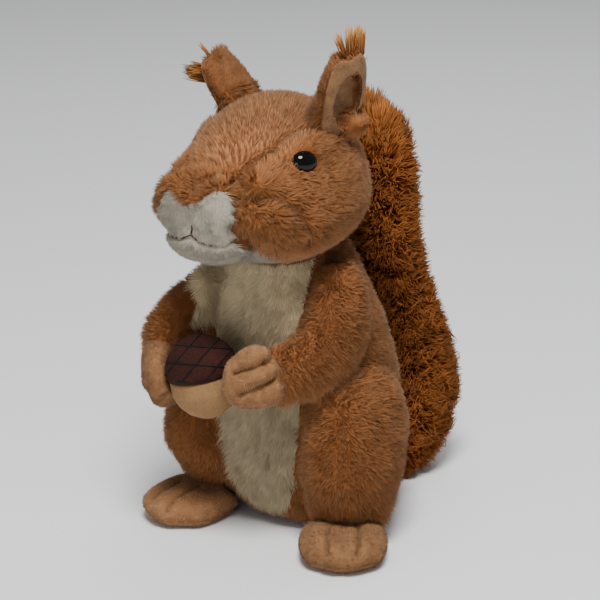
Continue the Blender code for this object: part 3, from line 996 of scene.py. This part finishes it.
def tail():
    """A stuffed core with long pile in wavy rows, upright at the top and shorn there on one side."""
    mesh = sewn(["tail"], 2.2, 6)
    write(mesh, tail_core(read(mesh)[0]))
    put(mesh, along=0.25, tone=1.0)
    skin = add("tail_skin", mesh, ["tail"], "rust_plush", TAIL_FUR)
    unwrap(skin)
    _, y, z = read(mesh)[0].T
    top = z.max()
    front = np.interp(z, (0, 60, 120, 200), (78, 84, 64, 54)) - y
    outer = tree_of(solid("tail"))
    for part, seed, weight in (("front", 51, ramp(front, -0.5, 0.5)), ("back", 52, ramp(-front, -0.5, 0.5))):
        place, normal, uv, _ = scatter(mesh, 18000, seed, weight)
        x, y, z = place.T
        up = ramp(z, top - 30, top)
        rows = np.sin(z * 1.25 + 2.5 * ripple(place, 22, 530))
        way = normal + UP * (1.3 * up)[:, None] + (0, 0.1, 0.12) + UP * (0.35 * rows)[:, None]
        way = unit(way + swirl(place, 13, 540) * 0.3 + swirl(place, 5, 550) * 0.25)
        aside = 0.79 * x + 0.61 * y
        shorn = up * ramp(aside, 33, 39) * (1 - 0.9 * bell(aside, 52, 6))
        reach = reach_of(outer, place, way)
        joined = 1 - ramp(distance_to(["trunk"], place + way * reach[:, None]), 1, 6)
        across = unit(np.cross(way, swirl(place, 4, 570)))
        # The gold colour: over the top, and towards the back, where it is a painted rim light.
        gold_and_rim_light = 0.7 * up + 0.6 * ramp(normal[:, 1], 0.2, 0.9) + 0.12 * ripple(place, 9, 580)
        coat(
            f"tail_coat_{part}", "rust_plush", TAIL_FUR, (place, across, uv), seed * 10, lay=way, lift=0,
            rings=1, length=reach * (1.03 + 0.2 * up - 0.45 * shorn) + 5 * joined, width=1.0, curl=0.3,
            bend=1.1 * ripple(place, 5, 565) * (1 - 0.7 * up), blunt=0.6, locks=(6, 0.25), soft=0.66,
            # Painted shade: darker over the top, and in the partings between the rows below it.
            facing=normal, tone=0.98 - 0.1 * up + 0.2 * ripple(place, 9, 560) + 0.16 * rows * (1 - up),
            cream=np.clip(gold_and_rim_light, 0, 1),
        )


# ---------------- eyes, mouth and acorn

QUILTING = (  # normals of the planes that the cap's stitches run in, and how far they pass from the middle
    ((-0.12, 0.27, 0.95), (15, 5.5, -4)),
    ((-0.72, -0.32, 0.62), (15, 6, -3, -12)),
)


def eye(side):
    """A glossy domed safety eye."""
    mesh = bmesh.new()
    mesh.from_mesh(solid(f"eye_{side}"))
    bmesh.ops.remove_doubles(mesh, verts=mesh.verts, dist=1e-6)
    data = bpy.data.meshes.new(f"eye_ball_{side}")
    mesh.to_mesh(data)
    mesh.free()
    points, _ = read(data)
    write(data, EYE[side] + stretched(points - EYE[side], side, EYE_STRETCH))
    data.shade_smooth()
    ball = add(f"eye_ball_{side}", data, [f"eye_{side}"], "black_plastic", GLOSS)
    ball.modifiers.new("round", "SUBSURF").levels = 2


def on_front(tree, line, count, rise):
    """Points along a line, moved fore or aft onto the front of a surface and a little off it."""
    line = np.array(line, float)
    spread = np.linspace(0, len(line) - 1, count)
    result = []
    for x, z in zip(*(np.interp(spread, range(len(line)), line[:, i]) for i in (0, 2))):
        near = tree.ray_cast(Vector((x, -200, z)) * MM, Vector((0, 1, 0)))[0]
        result.append(near + Vector((0, -rise * MM, 0)))
    return result


def thread(name, places, radius, material, slot):
    """A round thread through some places, in metres, as a closed mesh."""
    mesh = bmesh.new()
    sides = 6
    rings = []
    for i, place in enumerate(places):
        ahead = (places[min(i + 1, len(places) - 1)] - places[max(i - 1, 0)]).normalized()
        across = ahead.orthogonal().normalized()
        up = ahead.cross(across)
        size = radius * MM * (0.5 if i in (0, len(places) - 1) else 1.0)
        turn = [2 * math.pi * k / sides for k in range(sides)]
        rings.append([mesh.verts.new(place + (across * math.cos(a) + up * math.sin(a)) * size) for a in turn])
    for low, high in zip(rings, rings[1:]):
        for k in range(sides):
            mesh.faces.new((low[k], low[(k + 1) % sides], high[(k + 1) % sides], high[k]))
    mesh.faces.new(rings[0][::-1])
    mesh.faces.new(rings[-1])
    bmesh.ops.recalc_face_normals(mesh, faces=mesh.faces)
    data = bpy.data.meshes.new(name)
    mesh.to_mesh(data)
    mesh.free()
    data.shade_smooth()
    return add(name, data, [], slot, material)


def mouth(skin):
    """The embroidered mouth: a seam down from the nose and a smile."""
    tree = tree_of(skin.data)
    for i, line in enumerate((LIP_LINE[:3], both(LIP_LINE[:4])[1])):  # longer on the right
        thread(f"mouth_{i}", on_front(tree, line, 20, 0.7), 0.5, STITCH, "cream_plush")
    thread("mouth_seam", on_front(tree, [(0, -102, 184), MOUTH], 8, 0.6), 0.45, STITCH, "cream_plush")


def ring_on(tree, start, way, axis, level):
    """Where a plane through start, square to way, meets a dome's outside, over a level of its axis."""
    across = unit(np.cross(way, (0, 0, 1)))
    ahead = np.cross(way, across)
    places = []
    for turn in np.linspace(0, 2 * math.pi, 80, endpoint=False):
        out = across * math.cos(turn) + ahead * math.sin(turn)
        near, normal, _, _ = tree.ray_cast(Vector((start + out * 60) * MM), Vector(-out))
        hit = start - out if near is None else np.array(near) / MM
        held = (hit - start) @ out > 0 and hit @ axis > level
        places.append(near + normal * 0.1 * MM if held else None)
    if None not in places:
        return places + places[:1]
    first = places.index(None)
    runs = []
    for place in places[first:] + places[:first]:
        if place is None:
            runs.append([])
        else:
            runs[-1].append(place)
    return max(runs, key=len)


def acorn():
    """The nut and its cap, quilted by two families of stitches."""
    for node, material, slot in (("acorn_cap", FELT, "brown_felt"), ("acorn_nut", NUT, "nut_velour")):
        skin = add(f"{node}_cloth", sewn([node], 0.8, 3), [node], slot, material)
        unwrap(skin)
    tree = tree_of(bpy.data.objects["acorn_cap_cloth"].data)
    cap, nut = middle("acorn_cap"), middle("acorn_nut")
    axis, centre = unit(cap - nut), (cap + nut) / 2
    for family, (way, offsets) in enumerate(QUILTING):
        way = unit(np.array(way))
        for i, offset in enumerate(offsets):
            places = ring_on(tree, centre + way * offset, way, axis, centre @ axis + 2)
            if len(places) > 3:
                thread(f"cap_stitch_{family}_{i}", places, 0.42, BLACK, "brown_felt")


# ---------------- stage

FLOOR_REACH, FLOOR_LEVEL = 8.0, -0.0003  # metres, as all sizes in this section
FLOOR_CORNERS = ((-1, -1), (1, -1), (1, 1), (-1, 1))
LIGHTS = (  # name, degrees to the model's left and up, power, size
    ("key", 40, 60, 36.5, 0.6),
    ("fill", 15, 5, 5, 0.8),
    ("back", 200, 50, 7, 1.2),
)
CAMERA_TURN, CAMERA_RISE, CAMERA_AWAY, CAMERA_LENS = 38, 17, 1.4, 152.6


def aim(obj, target, turn, rise, away):
    """Turns a lamp or camera to a target, from some degrees to the model's left and up."""
    a, e = math.radians(turn), math.radians(rise)
    way = Vector((math.sin(a) * math.cos(e), -math.cos(a) * math.cos(e), math.sin(e)))
    obj.location = Vector(target) + way * away
    obj.rotation_euler = way.to_track_quat("Z", "Y").to_euler()


def stage():
    """A pale floor, a dim sky, a strong lamp over the left ear and two weak ones."""
    mesh = bpy.data.meshes.new("floor")
    corners = [(x * FLOOR_REACH, y * FLOOR_REACH, FLOOR_LEVEL) for x, y in FLOOR_CORNERS]
    mesh.from_pydata(corners, [], [range(4)])
    floor = linked("floor", mesh)
    mesh.materials.append(plain_material("floor_paper", (0.86, 0.86, 0.86), 0.9, 0.01))
    world = bpy.data.worlds.new("studio")
    bpy.context.scene.world = world
    world.use_nodes = True
    sky = world.node_tree.nodes["Background"].inputs
    sky["Color"].default_value = (0.95, 0.97, 1, 1)
    sky["Strength"].default_value = 0.30
    for name, turn, rise, power, size in LIGHTS:
        data = bpy.data.lights.new(name, "AREA")
        data.energy = power
        data.shape = "DISK"
        data.size = size
        aim(linked(name, data), (0, 0, 0.12), turn, rise, 1.6)


def camera():
    """Looks from the front left and a little above."""
    data = bpy.data.cameras.new("view")
    data.lens = CAMERA_LENS
    cam = linked("view", data)
    aim(cam, (-0.004, -0.003, 0.120), CAMERA_TURN, CAMERA_RISE, CAMERA_AWAY)
    bpy.context.scene.camera = cam


def main():
    camera()
    stage()
    head = head_skin()
    head_coat(*head)
    mouth(head[0])
    body_coat(*body_skin())
    tail()
    for side in SIDE:
        ear(side)
        ear_fibres(side)
        eye(side)
        paw(f"foot_{side}", foot_seams(side))
    for side in SIDE:
        paw(f"hand_{side}", HAND_SEAMS[side])
    acorn()


main()
